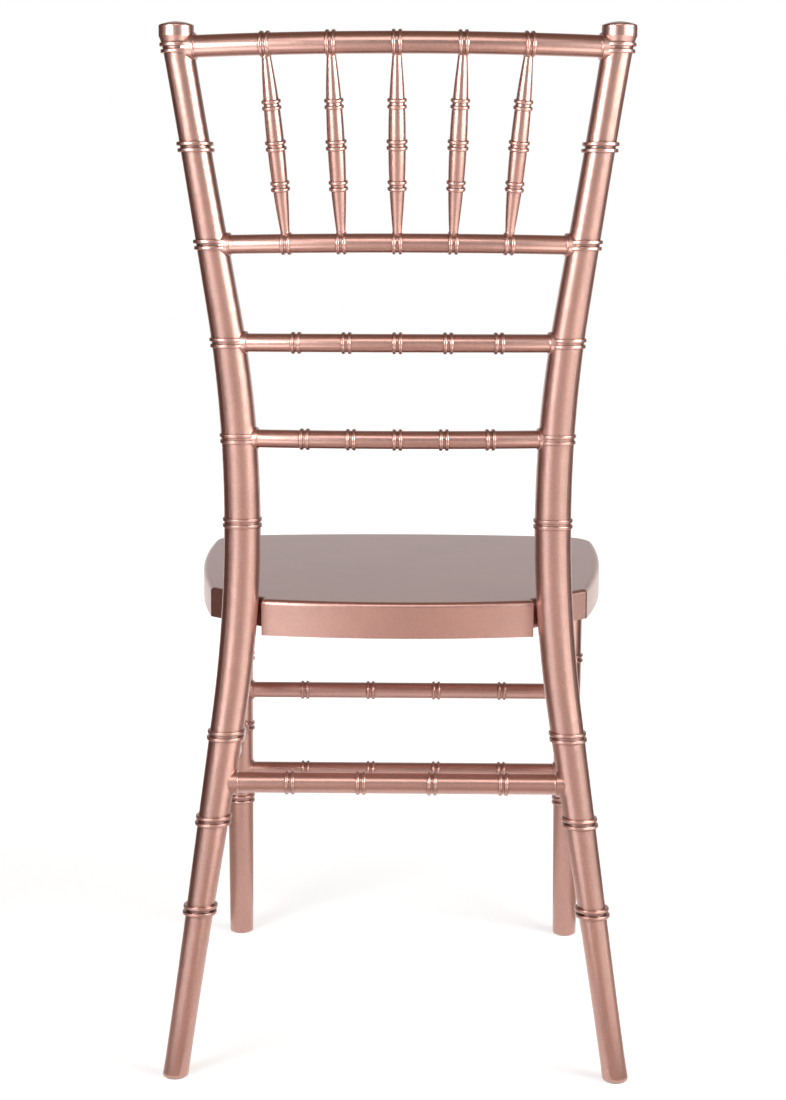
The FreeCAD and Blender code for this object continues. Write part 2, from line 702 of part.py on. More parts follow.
def pad_seat_outline(body, bottom, top):
    """Solid of the whole seat outline between two heights, with rounded corners."""
    offset = FreeCAD.Placement(V(0, seat_front, bottom), FreeCAD.Rotation())
    sketch = new_sketch(body, "outline", "XY_Plane", offset)
    draw_profile(sketch, seat_outline_points(), seat_outline_arcs())
    doc.recompute()
    pad = body.newObject("PartDesign::Pad", "slab")
    pad.Profile = sketch
    pad.Length = top - bottom
    doc.recompute()
    both = body.newObject("PartDesign::Mirrored", "both_halves")
    both.Originals = [pad]
    both.MirrorPlane = (origin_plane(body, "YZ_Plane"), [""])
    body.Tip = both
    doc.recompute()
    corner = (size("seat_corner_half_width"), seat_front + size("seat_corner_setback"))
    ear = (ear_x, ear_y)
    add_fillet(body, "front_corners", "Sizes.seat_corner_radius", lambda edge: upright_at(edge, corner))
    add_fillet(body, "ear_corners", "Sizes.ear_corner_radius", lambda edge: upright_at(edge, ear))


def upright_at(edge, place):
    """True for an upright edge at this distance from the middle plane and this y."""
    box = edge.BoundBox
    if box.XLength > 0.01 or box.YLength > 0.01:
        return False
    return abs(abs(box.XMin) - place[0]) < 0.5 and abs(box.YMin - place[1]) < 0.5


FAR = 2 * seat_depth
front_apron_back = seat_front + size("apron_thickness")
rear_apron_front = rear_corner_y - size("apron_thickness")


# Seat panel, a board whose top rises towards the front

panel = new_body("seat_panel")
panel_top = size("seat_rear_height") + seat_depth * math.tan(math.radians(size("seat_slope")))
pad_seat_outline(panel, underside, panel_top + 1)
slope_turn = FreeCAD.Rotation(V(1, 0, 0), -size("seat_slope"))
rear_edge = V(0, seat_back, size("seat_rear_height"))
add_box(panel, "sloping_top", rear_edge + slope_turn.multVec(V(-FAR, -FAR, 0)),
        V(2 * FAR, 2 * FAR, FAR), cut=True, rotation=slope_turn)
top_normal = slope_turn.multVec(V(0, 0, 1))


def on_seat_top(edge):
    places = [edge.valueAt(edge.getParameterByLength(edge.Length * part)) for part in (0.1, 0.5, 0.9)]
    return all(abs((place - rear_edge).dot(top_normal)) < 0.01 for place in places)


add_fillet(panel, "soft_edge", "Sizes.seat_edge_radius", on_seat_top)
keep(panel, "seat_panel")


# Aprons under the panel's edge

front_apron = new_body("front_apron")
pad_seat_outline(front_apron, side_bottom, underside)
add_box(front_apron, "behind", V(-FAR, front_apron_back, 0), V(2 * FAR, FAR, FAR), cut=True)
keep(front_apron, "front_apron")

rear_apron = new_body("rear_apron")
pad_seat_outline(rear_apron, rear_bottom, underside)
add_box(rear_apron, "ahead", V(-FAR, rear_apron_front - FAR, 0), V(2 * FAR, FAR, FAR), cut=True)
add_box(rear_apron, "left_end", V(notch_x, -FAR, 0), V(FAR, 2 * FAR, FAR), cut=True)
add_box(rear_apron, "right_end", V(-notch_x - FAR, -FAR, 0), V(FAR, 2 * FAR, FAR), cut=True)
keep(rear_apron, "rear_apron")

side_apron = new_body("side_apron_left")
pad_seat_outline(side_apron, side_bottom, underside)
add_box(side_apron, "ahead", V(-FAR, front_apron_back - FAR, 0), V(2 * FAR, FAR, FAR), cut=True)
inner_rear = V(ear_x - size("side_apron_thickness"), ear_y, 0)
inner_front = V(size("seat_widest_half_width") - size("side_apron_thickness"),
                seat_front + size("seat_widest_setback"), 0)
inner_turn = FreeCAD.Rotation(V(0, 1, 0), inner_rear - inner_front)
add_box(side_apron, "inside", inner_front + inner_turn.multVec(V(-FAR, -FAR, 0)),
        V(FAR, 2 * FAR, FAR), cut=True, rotation=inner_turn)
keep(side_apron, "side_apron_left")
mirror(side_apron, "side_apron_right")


# Front corner blocks, with the holes for the leg spigots

def corner_block_screws(points):
    """Where the screws of one block go, as points on the block's underside."""
    return [V(x, y, side_bottom) for x, y in points]


front_block_right = inner_front.x - size("front_block_width") - size("fit_clearance")
front_block = new_body("front_corner_block_left")
add_box(front_block, "block", V(front_block_right, front_apron_back, side_bottom),
        V(size("front_block_width"), size("front_block_length"), underside - side_bottom))
spigot_top = underside - size("end_clearance")
add_cylinder(front_block, "spigot_hole", front_leg_point(side_bottom - 1), V(0, 0, 1),
             "Sizes.leg_spigot_diameter / 2 + Sizes.fit_clearance", underside - side_bottom + 2, cut=True)

block_mid_x = front_block_right + size("front_block_width") / 2
front_screws = corner_block_screws((
    (front_block_right + size("screw_head_diameter"), front_apron_back + size("screw_head_diameter")),
    (block_mid_x, front_apron_back + size("front_block_length") - size("screw_head_diameter"))))

# Rear corner blocks, whose tongues reach back into the posts

tongue_height = (side_bottom + underside) / 2
post_at_tongue = post_point(tongue_height)
tongue_end = post_at_tongue.y - post_radius(tongue_height) + size("tongue_housing")
rear_block_front = rear_apron_front - size("rear_block_length")
rear_block_right = notch_x - size("rear_block_width")
tongue_right = post_at_tongue.x - size("tongue_width") / 2


def inner_face_x(y):
    """Inner face of the left side apron at this y."""
    return inner_rear.x + (inner_front.x - inner_rear.x) * (y - inner_rear.y) / (inner_front.y - inner_rear.y)


# The block's long face lies flush with the seat's diagonal cut
cut_slope = (notch_y - ear_y) / (notch_x - ear_x)
inner_slope = (inner_front.x - inner_rear.x) / (inner_front.y - inner_rear.y)
meeting_y = ((ear_y + cut_slope * (inner_rear.x - inner_slope * inner_rear.y - ear_x))
             / (1 - cut_slope * inner_slope))
block_outline = (
    (rear_block_right, rear_block_front),
    (inner_face_x(rear_block_front), rear_block_front),
    (inner_face_x(meeting_y), meeting_y),
    (notch_x, notch_y),
    (notch_x, rear_apron_front),
    (rear_block_right, rear_apron_front),
)
rear_block = new_body("rear_corner_block_left")
sketch = new_sketch(rear_block, "outline", "XY_Plane", FreeCAD.Placement(V(0, 0, side_bottom), FreeCAD.Rotation()))
draw_profile(sketch, block_outline, {})
doc.recompute()
slab = rear_block.newObject("PartDesign::Pad", "slab")
slab.Profile = sketch
slab.Length = underside - side_bottom
tongue_root = rear_block_front + size("rear_block_length") / 2
add_box(rear_block, "tongue", V(tongue_right, tongue_root, side_bottom),
        V(size("tongue_width"), tongue_end - tongue_root, underside - side_bottom))
bolt_start = V(post_at_tongue.x, rear_block_front, tongue_height)
add_cylinder(rear_block, "bolt_hole", bolt_start - V(0, 1, 0), V(0, 1, 0),
             "Sizes.seat_bolt_diameter / 2 + Sizes.end_clearance", tongue_end - rear_block_front + 2, cut=True)
rear_screw_x = rear_block_right + size("screw_head_diameter")
rear_screws = corner_block_screws((
    (rear_screw_x, rear_block_front + size("screw_head_diameter")),
    (rear_screw_x, rear_apron_front - size("screw_head_diameter"))))


# Screw holes through the blocks and into the panel

def drill_for_screws(body, name, points, sides):
    for i, place in enumerate(points, 1):
        for side in sides:
            start = V(side * place.x, place.y, place.z - 1)
            add_cylinder(body, "%s_%d_%s" % (name, i, "left" if side > 0 else "right"), start, V(0, 0, 1),
                         "Sizes.screw_diameter / 2 + Sizes.fit_clearance",
                         size("screw_length") + size("end_clearance") + 1, cut=True)


def countersink(body, name, points):
    for i, place in enumerate(points, 1):
        cone = body.newObject("PartDesign::SubtractiveCone", "%s_%d" % (name, i))
        cone.Placement = FreeCAD.Placement(place, FreeCAD.Rotation())
        bind(cone, "Radius1", "Sizes.screw_head_diameter / 2 + Sizes.fit_clearance")
        bind(cone, "Radius2", "Sizes.screw_diameter / 2 + Sizes.fit_clearance")
        bind(cone, "Height", "(Sizes.screw_head_diameter - Sizes.screw_diameter) / 2")


for block, name, points in ((front_block, "front_corner_block", front_screws),
                            (rear_block, "rear_corner_block", rear_screws)):
    drill_for_screws(block, "screw_hole", points, (1,))
    countersink(block, "countersink", points)
    keep(block, name + "_left")
    mirror(block, name + "_right")
drill_for_screws(panel, "front_screw_hole", front_screws, (1, -1))
drill_for_screws(panel, "rear_screw_hole", rear_screws, (1, -1))


# Front legs: a plain taper with a spigot on top

leg = new_body("front_leg_left")
glide = size("glide_height")
shaft = leg.newObject("PartDesign::AdditiveCone", "shaft")
shaft.Placement = FreeCAD.Placement(front_leg_point(glide), FreeCAD.Rotation())
shaft.Height = side_bottom - glide
bind(shaft, "Radius1", "Sizes.front_leg_foot_diameter / 2")
bind(shaft, "Radius2", "Sizes.front_leg_top_diameter / 2")


def foot_edge(edge):
    return abs(edge.BoundBox.ZMax - glide) < 0.01


add_fillet(leg, "foot_edge", "Sizes.foot_edge_radius", foot_edge)
add_cylinder(leg, "spigot", front_leg_point(side_bottom - 1), V(0, 0, 1),
             "Sizes.leg_spigot_diameter / 2", spigot_top - side_bottom + 1)
for i, height in enumerate((size("side_upper_stretcher_height"), size("side_lower_stretcher_height"),
                            size("foot_ring_height")), 1):
    thicker = front_leg_radius(height) - size("front_leg_foot_diameter") / 2
    radius = "Sizes.front_leg_foot_diameter / 2 + %.4f + Sizes.bead_stand" % thicker
    add_bead_pair(leg, "ring_%d" % i, front_leg_point(height), V(0, 0, 1), radius)
round_beads(leg)
for i, (joint, diameter) in enumerate(front_joints, 1):
    cut_socket(leg, "joint_%d" % i, joint, diameter)


def cut_glide_hole(body, centre):
    """Hole for the glide's stem, from the foot's underside."""
    start = body.Placement.inverse().multVec(V(centre.x, centre.y, 0))
    add_cylinder(body, "glide_hole", start, V(0, 0, 1), "Sizes.glide_stem_diameter / 2 + Sizes.fit_clearance",
                 glide + size("glide_stem_length") + size("end_clearance"), cut=True)


cut_glide_hole(leg, front_leg_point(0))
keep(leg, "front_leg_left")
mirror(leg, "front_leg_right")


# Rear posts: one bent and tapered length from the foot to the finial

post = new_body("rear_post_left", POST_PLACEMENT)
overrun = size("post_foot_diameter")
path_start = on_lower_run(knee.y / math.cos(lower_lean) + overrun)
path_end = on_upper_run((finial_start - knee.y) / math.cos(upper_lean) + overrun)
path = new_sketch(post, "path", "XZ_Plane", FreeCAD.Placement())
path.addGeometry([Part.LineSegment(path_start, bend_start), Part.Arc(bend_start, bend_middle, bend_end),
                  Part.LineSegment(bend_end, path_end)], False)


def post_section(name, point, lean, diameter):
    """Round section of the post, square to its centre line; diameter is a number."""
    offset = FreeCAD.Placement(V(point.x, 0, point.y), FreeCAD.Rotation(V(0, 1, 0), math.degrees(lean)))
    sketch = new_sketch(post, name, "XY_Plane", offset)
    slimmer = size("post_waist_diameter") - diameter
    plain_circle(sketch, 0, "Sizes.post_waist_diameter - %.4f" % slimmer, diameter)
    return sketch


waist = size("post_waist_height")
stations = (
    ("foot_section", path_start, -lower_lean),
    ("lower_section", bend_start, -lower_lean),
    ("waist_section", V(post_offset(waist), waist, 0), post_lean(waist)),
    ("upper_section", bend_end, upper_lean),
    ("top_section", path_end, upper_lean),
)
sections = [post_section(name, point, lean, 2 * post_radius(point.y)) for name, point, lean in stations]
doc.recompute()
bar = post.newObject("PartDesign::AdditivePipe", "bar")
bar.Profile = sections[0]
bar.Spine = (path, ["Edge1", "Edge2", "Edge3"])
bar.Sections = sections[1:]
bar.Transformation = "Multisection"

# Level cuts at the foot and at the neck
add_box(post, "below_foot", V(-FAR, -FAR, glide - FAR), V(2 * FAR, 2 * FAR, FAR), cut=True)
add_box(post, "above_neck", V(-FAR, -FAR, finial_start), V(2 * FAR, 2 * FAR, FAR), cut=True)
add_fillet(post, "foot_edge", "Sizes.foot_edge_radius", foot_edge)

post_rings = [
    crest_rail_height - size("crest_ring_drop"),
    (crest_rail_height + size("spindle_rail_height")) / 2,
    size("spindle_rail_height"),
    size("middle_rail_height"),
    size("lower_rail_height"),
    size("seat_rear_height") + size("seat_ring_rise"),
    size("side_upper_stretcher_height"),
    size("side_lower_stretcher_height"),
    size("foot_ring_height"),
]
for i, height in enumerate(post_rings, 1):
    slimmer = size("post_waist_diameter") / 2 - post_radius(height)
    radius = "Sizes.post_waist_diameter / 2 - %.4f + Sizes.bead_stand" % slimmer
    half = size("bead_pitch") / 2
    for side, level in (("low", height - half), ("high", height + half)):
        add_bead(post, "ring_%d_%s" % (i, side), V(post_offset(level), 0, level), V(0, 0, 1), radius)
round_beads(post, 0.3)

# Finial, turned about an upright axis over the post's centre line
finial_x = post_offset(cap_start)
finial = new_sketch(post, "finial_profile", "XZ_Plane",
                    FreeCAD.Placement(V(finial_x, finial_start - 1, 0), FreeCAD.Rotation()))
neck = (size("finial_neck_diameter") / 2, "Sizes.finial_neck_diameter / 2")
cap = (size("finial_cap_diameter") / 2, "Sizes.finial_cap_diameter / 2")
shoulder = (cap_start - finial_start + 1, "Sizes.finial_neck_length + 1")
rim = (cap_rim - finial_start + 1, "Sizes.finial_neck_length + Sizes.finial_cap_length + 1")
crown = (rim[0] + size("finial_dome_height"), rim[1] + " + Sizes.finial_dome_height")
dome = bow_radius(cap[0], crown[0] - rim[0])
dome_middle = (cap[0] / 2, crown[0] - dome + math.sqrt(dome ** 2 - (cap[0] / 2) ** 2))
draw_profile(finial, ((0, 0), (neck, 0), (cap, shoulder), (cap, rim), (0, crown)),
             {3: (dome_middle, "on_y_axis")})
doc.recompute()
turned = post.newObject("PartDesign::Revolution", "finial")
turned.Profile = finial
turned.ReferenceAxis = (finial, ["V_Axis"])
turned.Angle = 360
add_fillet(post, "cap_edge", "Sizes.foot_edge_radius",
           lambda edge: abs(edge.BoundBox.ZMin - cap_rim) < 0.01
           and edge.BoundBox.ZLength < 0.01)

for i, (joint, diameter) in enumerate(post_joints, 1):
    cut_socket(post, "joint_%d" % i, joint, diameter)


def cut_tongue_housing():
    """Flat housing in the front of the post for the seat's tongue, and the hole for the insert."""
    back = POST_PLACEMENT.inverse()
    gap = size("fit_clearance")
    corner = V(post_at_tongue.x - FAR / 2, tongue_end - FAR, side_bottom - gap)
    add_box(post, "tongue_housing", back.multVec(corner), V(FAR, FAR, underside - side_bottom + 2 * gap),
            cut=True, rotation=back.Rotation)
    start = back.multVec(V(post_at_tongue.x, tongue_end - 1, tongue_height))
    add_cylinder(post, "insert_hole", start, back.Rotation.multVec(V(0, 1, 0)),
                 "Sizes.insert_diameter / 2 + Sizes.fit_clearance",
                 size("insert_length") + size("end_clearance") + 1, cut=True)


cut_tongue_housing()
rear_foot = post_point(glide)
cut_glide_hole(post, rear_foot)
keep(post, "rear_post_left")
mirror(post, "rear_post_right")


# Glides: a disc with a stem

def make_glide(name, centre):
    body = new_body(name, FreeCAD.Placement(V(centre.x, centre.y, 0), FreeCAD.Rotation()))
    add_cylinder(body, "disc", V(0, 0, 0), V(0, 0, 1), "Sizes.glide_diameter / 2", glide)
    add_cylinder(body, "stem", V(0, 0, 0), V(0, 0, 1), "Sizes.glide_stem_diameter / 2",
                 glide + size("glide_stem_length"))
    keep(body, name)
    return body


for name, centre in (("front_glide", front_leg_point(0)), ("rear_glide", rear_foot)):
    mirror(make_glide(name + "_left", centre), name + "_right")


# Fasteners, each kind in one node

def group(name, solids):
    compound = doc.addObject("Part::Compound", name)
    compound.Links = solids
    return keep(compound, name)


def primitive(kind, name, placement, **sizes):
    thing = doc.addObject(kind, name)
    thing.Placement = placement
    for prop, value in sizes.items():
        if isinstance(value, str):
            bind(thing, prop, value)
        else:
            setattr(thing, prop, value)
    return thing


def make_screw(name, place):
    """Countersunk screw, driven upwards from place."""
    up = FreeCAD.Placement(place, FreeCAD.Rotation())
    head = primitive("Part::Cone", name + "_head", up, Radius1="Sizes.screw_head_diameter / 2",
                     Radius2="Sizes.screw_diameter / 2",
                     Height="(Sizes.screw_head_diameter - Sizes.screw_diameter) / 2")
    shank = primitive("Part::Cylinder", name + "_shank", up, Radius="Sizes.screw_diameter / 2",
                      Height="Sizes.screw_length")
    whole = doc.addObject("Part::Fuse", name)
    whole.Base = head
    whole.Tool = shank
    return whole


def make_bolt(name, side):
    """Socket head bolt from the rear block into the insert in the post."""
    start = V(side * bolt_start.x, bolt_start.y, bolt_start.z)
    head_height = size("seat_bolt_head_height")
    length = tongue_end - rear_block_front + size("insert_length") - 2 * size("end_clearance")
    shank = primitive("Part::Cylinder", name + "_shank", along(start - V(0, 1, 0), V(0, 1, 0)),
                      Radius="Sizes.seat_bolt_diameter / 2", Height=length + 1)
    head = primitive("Part::Cylinder", name + "_head", along(start - V(0, head_height, 0), V(0, 1, 0)),
                     Radius="Sizes.seat_bolt_head_diameter / 2", Height="Sizes.seat_bolt_head_height")
    socket = primitive("Part::Prism", name + "_socket", along(start - V(0, head_height + 1, 0), V(0, 1, 0)),
                       Polygon=6, Circumradius="Sizes.seat_bolt_socket / 2 / cos(30)",
                       Height=head_height / 2 + 1)
    joined = doc.addObject("Part::Fuse", name + "_blank")
    joined.Base = head
    joined.Tool = shank
    whole = doc.addObject("Part::Cut", name)
    whole.Base = joined
    whole.Tool = socket
    return whole


def make_insert(name, side):
    """Threaded bush in the post, shown with a plain bore."""
    place = along(V(side * post_at_tongue.x, tongue_end, tongue_height), V(0, 1, 0))
    outside = primitive("Part::Cylinder", name + "_outside", place, Radius="Sizes.insert_diameter / 2",
                        Height="Sizes.insert_length")
    bore = primitive("Part::Cylinder", name + "_bore", place,
                     Radius="Sizes.seat_bolt_diameter / 2 + Sizes.fit_clearance", Height="Sizes.insert_length")
    whole = doc.addObject("Part::Cut", name)
    whole.Base = outside
    whole.Tool = bore
    return whole


screw_places = [V(side * p.x, p.y, p.z) for p in front_screws + rear_screws for side in (1, -1)]
group("block_screws", [make_screw("screw_%d" % i, place) for i, place in enumerate(screw_places, 1)])
group("seat_bolts", [make_bolt("bolt_%s" % word, side) for word, side in (("left", 1), ("right", -1))])
group("threaded_inserts", [make_insert("insert_%s" % word, side) for word, side in (("left", 1), ("right", -1))])

doc.recompute()

# Nothing is written unless every object and every piece is sound
for thing in doc.Objects:
    if "Invalid" in thing.State or "Error" in thing.State:
        raise RuntimeError("%s failed: %s" % (thing.Label, thing.State))
for piece in NODES:
    if piece.Shape.isNull() or not piece.Shape.isValid():
        raise RuntimeError("%s has no sound shape" % piece.Label)

os.makedirs("parts", exist_ok=True)
for piece in NODES:
    piece.Shape.exportStep("parts/%s.step" % piece.Label)

total = sum(piece.Shape.Volume for piece in NODES)
print("%d nodes, %.0f cm3 of solids" % (len(NODES), total / 1000))
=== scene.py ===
import json
import math

import bpy
from mathutils import Matrix, Vector

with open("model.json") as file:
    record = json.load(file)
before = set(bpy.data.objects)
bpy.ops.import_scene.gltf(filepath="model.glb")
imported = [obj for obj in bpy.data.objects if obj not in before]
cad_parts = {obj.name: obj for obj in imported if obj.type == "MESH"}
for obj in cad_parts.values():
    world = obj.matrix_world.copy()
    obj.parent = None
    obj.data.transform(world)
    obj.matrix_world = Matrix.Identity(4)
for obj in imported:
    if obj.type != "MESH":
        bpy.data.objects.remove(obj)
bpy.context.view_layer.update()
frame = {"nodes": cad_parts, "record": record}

nodes = frame["nodes"]


# Camera: behind the chair and a little above its back, as in the photograph

FOCAL_PX = 2228.0
FRAME_PX = 786.0
SENSOR_MM = 36.0
FAR_CLIP = 50.0
PITCH = math.radians(8.071)
YAW = math.radians(-1.184)
ROLL = math.radians(0.116)
CAMERA_AT = Vector((-0.0365, 2.1104, 0.7422))


def make_camera():
    data = bpy.data.cameras.new("camera")
    data.sensor_fit = "HORIZONTAL"
    data.sensor_width = SENSOR_MM
    data.lens = FOCAL_PX / FRAME_PX * SENSOR_MM
    data.clip_end = FAR_CLIP
    camera = bpy.data.objects.new("camera", data)
    bpy.context.collection.objects.link(camera)
    flat = math.cos(PITCH)
    forward = Vector((-math.sin(YAW) * flat, -math.cos(YAW) * flat, -math.sin(PITCH)))
    right = Vector((-math.cos(YAW), math.sin(YAW), 0.0))
    up = right.cross(forward)
    turn = Matrix((right, up, -forward)).transposed() @ Matrix.Rotation(ROLL, 3, "Z")
    camera.matrix_world = Matrix.Translation(CAMERA_AT) @ turn.to_4x4()
    bpy.context.scene.camera = camera


make_camera()


# Node helpers

SRGB_KNEE = 0.04045
SRGB_SLOPE = 12.92
SRGB_OFFSET = 0.055
SRGB_POWER = 2.4

WHITE = (1.0, 1.0, 1.0, 1.0)

# A noise node's values lie mostly in this range
NOISE_RANGE = (0.3, 0.7)

# Sockets of a Mix node that mixes colours
MIX_FACTOR, MIX_FIRST, MIX_SECOND = 0, 6, 7
MIX_RESULT = 2


def linear(red, green, blue):
    """Colour with full alpha, from 0 to 255 screen values."""
    out = []
    for part in (red, green, blue):
        part /= 255.0
        if part <= SRGB_KNEE:
            out.append(part / SRGB_SLOPE)
        else:
            out.append(((part + SRGB_OFFSET) / (1.0 + SRGB_OFFSET)) ** SRGB_POWER)
    return out + [1.0]


def set_inputs(node, values):
    for name, value in values.items():
        node.inputs[name].default_value = value


class Nodes:
    """A new material with its shader, and short calls for the nodes that feed it."""

    def __init__(self, name):
        self.material = bpy.data.materials.new(name)
        self.material.use_nodes = True
        self.tree = self.material.node_tree
        self.shader = self.tree.nodes["Principled BSDF"]
        self.place = self.tree.nodes.new("ShaderNodeTexCoord").outputs["Object"]

    def add(self, kind, values=()):
        """Node with these values, each of them an input's or a setting's."""
        node = self.tree.nodes.new(kind)
        for name, value in dict(values).items():
            if name in node.inputs:
                node.inputs[name].default_value = value
            else:
                setattr(node, name, value)
        return node

    def link(self, source, target):
        self.tree.links.new(source, target)

    def noise(self, size, detail=2.0, roughness=0.5):
        """Noise whose features are about this many metres across."""
        values = {"Scale": 1.0 / size, "Detail": detail, "Roughness": roughness}
        node = self.add("ShaderNodeTexNoise", values)
        self.link(self.place, node.inputs["Vector"])
        return node.outputs["Fac"]

    def cells(self, size):
        """Random value per cell of about this many metres."""
        node = self.add("ShaderNodeTexVoronoi", {"Scale": 1.0 / size})
        self.link(self.place, node.inputs["Vector"])
        split = self.add("ShaderNodeSeparateColor")
        self.link(node.outputs["Color"], split.inputs["Color"])
        return split.outputs["Red"]

    def spread(self, value, low, high, from_low=0.0, from_high=1.0):
        """The value stretched from its own range to the one between low and high."""
        node = self.add("ShaderNodeMapRange", {"From Min": from_low, "From Max": from_high,
                                               "To Min": low, "To Max": high})
        self.link(value, node.inputs["Value"])
        return node.outputs["Result"]

    def combine(self, operation, first, second):
        node = self.add("ShaderNodeMath", {"operation": operation})
        self.link(first, node.inputs[0])
        self.link(second, node.inputs[1])
        return node.outputs[0]

    def mix(self, factor, first, second, blend="MIX"):
        node = self.add("ShaderNodeMix", {"data_type": "RGBA", "blend_type": blend})
        wanted = ((factor, MIX_FACTOR), (first, MIX_FIRST), (second, MIX_SECOND))
        for value, socket in wanted:
            if isinstance(value, (list, tuple, float, int)):
                node.inputs[socket].default_value = value
            else:
                self.link(value, node.inputs[socket])
        return node.outputs[MIX_RESULT]

    def brighten(self, colour, value):
        """Colour times a grey value."""
        return self.mix(1.0, colour, value, "MULTIPLY")

    def bump(self, height, distance, strength, below=None):
        node = self.add("ShaderNodeBump", {"Distance": distance, "Strength": strength})
        self.link(height, node.inputs["Height"])
        if below:
            self.link(below, node.inputs["Normal"])
        return node.outputs["Normal"]

    def crevice(self, reach):
        """0 in a groove narrower than this, 1 on open surfaces."""
        values = {"Distance": reach, "samples": 6, "only_local": True}
        return self.add("ShaderNodeAmbientOcclusion", values).outputs["AO"]


def camera_share(tree):
    """1 for rays that show the background itself: seen directly, in a gloss or through glass."""
    path = tree.nodes.new("ShaderNodeLightPath")
    total = path.outputs["Is Camera Ray"]
    for name in ("Is Glossy Ray", "Is Transmission Ray"):
        larger = tree.nodes.new("ShaderNodeMath")
        larger.operation = "MAXIMUM"
        tree.links.new(total, larger.inputs[0])
        tree.links.new(path.outputs[name], larger.inputs[1])
        total = larger.outputs[0]
    return total


# Rose-gold metallic paint: fine flecks, a faint orange peel, and painted shade that turns the
# colour a darker copper in the grooves.
# Sizes and depths are in metres.

FLECK_SIZE = 0.00045
COARSE_FLECK_SIZE = 0.0009
PEEL_SIZE = 0.0022
PATCH_SIZE = 0.011
CLOUD_SIZE = 0.06
GROOVE_WIDTH = 0.006

PEEL_DEPTH = 0.00001
FLECK_DEPTH = 0.000005
RELIEF = 0.6

COARSE_SHARE = 0.6
CLOUD_TONE = (0.95, 1.05)
PATCH_TONE = (-0.02, 0.02)
PATCH_ROUGH = 0.012
FLECK_ROUGH = 0.03
GROOVE_FADE = (0.35, 0.85)

ROSE_GOLD = linear(180, 132, 119)
# Painted shade: the darker copper that the paint takes in grooves and between beads
PAINTED_GROOVE_SHADE = linear(100, 50, 38)
SATIN_COAT = {"Coat Weight": 1.0, "Coat IOR": 2.0, "Coat Roughness": 0.34,
              "Coat Tint": (1.0, 0.9, 0.86, 1.0)}


def metallic_paint(name, rough, fleck):
    """Paint of this mean roughness, whose tone differs by this much from fleck to fleck."""
    m = Nodes(name)
    flecks = m.cells(FLECK_SIZE)
    coarse = m.cells(COARSE_FLECK_SIZE)
    cloud = m.noise(CLOUD_SIZE, detail=3.0, roughness=0.55)
    patches = m.noise(PATCH_SIZE, detail=3.0, roughness=0.6)
    peel = m.noise(PEEL_SIZE, detail=1.0, roughness=0.4)

    coarse_tone = m.spread(coarse, -COARSE_SHARE * fleck, COARSE_SHARE * fleck)
    tone = m.combine("ADD", m.spread(flecks, -fleck, fleck), coarse_tone)
    tone = m.combine("ADD", tone, m.spread(cloud, *CLOUD_TONE, *NOISE_RANGE))
    tone = m.combine("ADD", tone, m.spread(patches, *PATCH_TONE, *NOISE_RANGE))
    # Painted shade: where the occlusion mask finds a groove, the colour turns to the darker
    # copper
    groove = m.spread(m.crevice(GROOVE_WIDTH), 1.0, 0.0, *GROOVE_FADE)
    colour = m.mix(groove, ROSE_GOLD, PAINTED_GROOVE_SHADE)
    m.link(m.brighten(colour, tone), m.shader.inputs["Base Color"])

    patchy = m.spread(patches, rough - PATCH_ROUGH, rough + PATCH_ROUGH, *NOISE_RANGE)
    flecked = m.spread(flecks, -FLECK_ROUGH, FLECK_ROUGH)
    m.link(m.combine("ADD", patchy, flecked), m.shader.inputs["Roughness"])

    normal = m.bump(peel, PEEL_DEPTH, RELIEF)
    normal = m.bump(flecks, FLECK_DEPTH, RELIEF, normal)
    m.link(normal, m.shader.inputs["Normal"])
    set_inputs(m.shader, {"Metallic": 0.94, **SATIN_COAT})
    return m.material


# Hardware: brushed and a little stained metal, scuffed plastic

BRUSH_SIZE = 0.0006
BRUSH_DEPTH = 0.00002
BRUSH_ROUGH = 0.08
STAIN_SIZE = 0.004
STAIN_TONE = (0.85, 1.1)

GRAIN_SIZE = 0.0007
GRAIN_DEPTH = 0.00004
SCUFF_SIZE = 0.004
SCUFF_TONE = (0.8, 1.05)
SCUFF_ROUGH = (0.5, 0.7)
SCUFF_RANGE = (0.3, 0.65)


def plated_steel(name, face, rough):
    m = Nodes(name)
    brushed = m.noise(BRUSH_SIZE, detail=2.0, roughness=0.6)
    stain = m.noise(STAIN_SIZE, detail=3.0, roughness=0.6)
    stained = m.brighten(face, m.spread(stain, *STAIN_TONE, *NOISE_RANGE))
    m.link(stained, m.shader.inputs["Base Color"])
    roughness = m.spread(brushed, rough - BRUSH_ROUGH, rough + BRUSH_ROUGH, *NOISE_RANGE)
    m.link(roughness, m.shader.inputs["Roughness"])
    m.link(m.bump(brushed, BRUSH_DEPTH, RELIEF), m.shader.inputs["Normal"])
    set_inputs(m.shader, {"Metallic": 1.0})
    return m.material


def moulded_plastic(name, face):
    m = Nodes(name)
    grain = m.noise(GRAIN_SIZE, detail=2.0, roughness=0.6)
    scuff = m.noise(SCUFF_SIZE, detail=4.0, roughness=0.7)
    scuffed = m.brighten(face, m.spread(scuff, *SCUFF_TONE, *SCUFF_RANGE))
    m.link(scuffed, m.shader.inputs["Base Color"])
    m.link(m.spread(scuff, *SCUFF_ROUGH, *NOISE_RANGE), m.shader.inputs["Roughness"])
    m.link(m.bump(grain, GRAIN_DEPTH, strength=0.5), m.shader.inputs["Normal"])
    return m.material


looks = {
    "frame_paint": metallic_paint("rose_gold_frame", rough=0.33, fleck=0.12),
    "seat_paint": metallic_paint("rose_gold_seat", rough=0.35, fleck=0.09),
    "fastener_steel": plated_steel("zinc_plate", linear(170, 170, 168), rough=0.35),
    "insert_brass": plated_steel("turned_brass", linear(190, 160, 95), rough=0.3),
    "glide_plastic": moulded_plastic("glide_plastic", linear(190, 184, 176)),
}

for entry in frame["record"]["subparts"]:
    piece = nodes[entry["node"]]
    for slot in piece.material_slots:
        slot.material = looks[entry["material_slot"]]


# Background: a white world and a pale floor that keeps the shadow

AMBIENT = 0.2

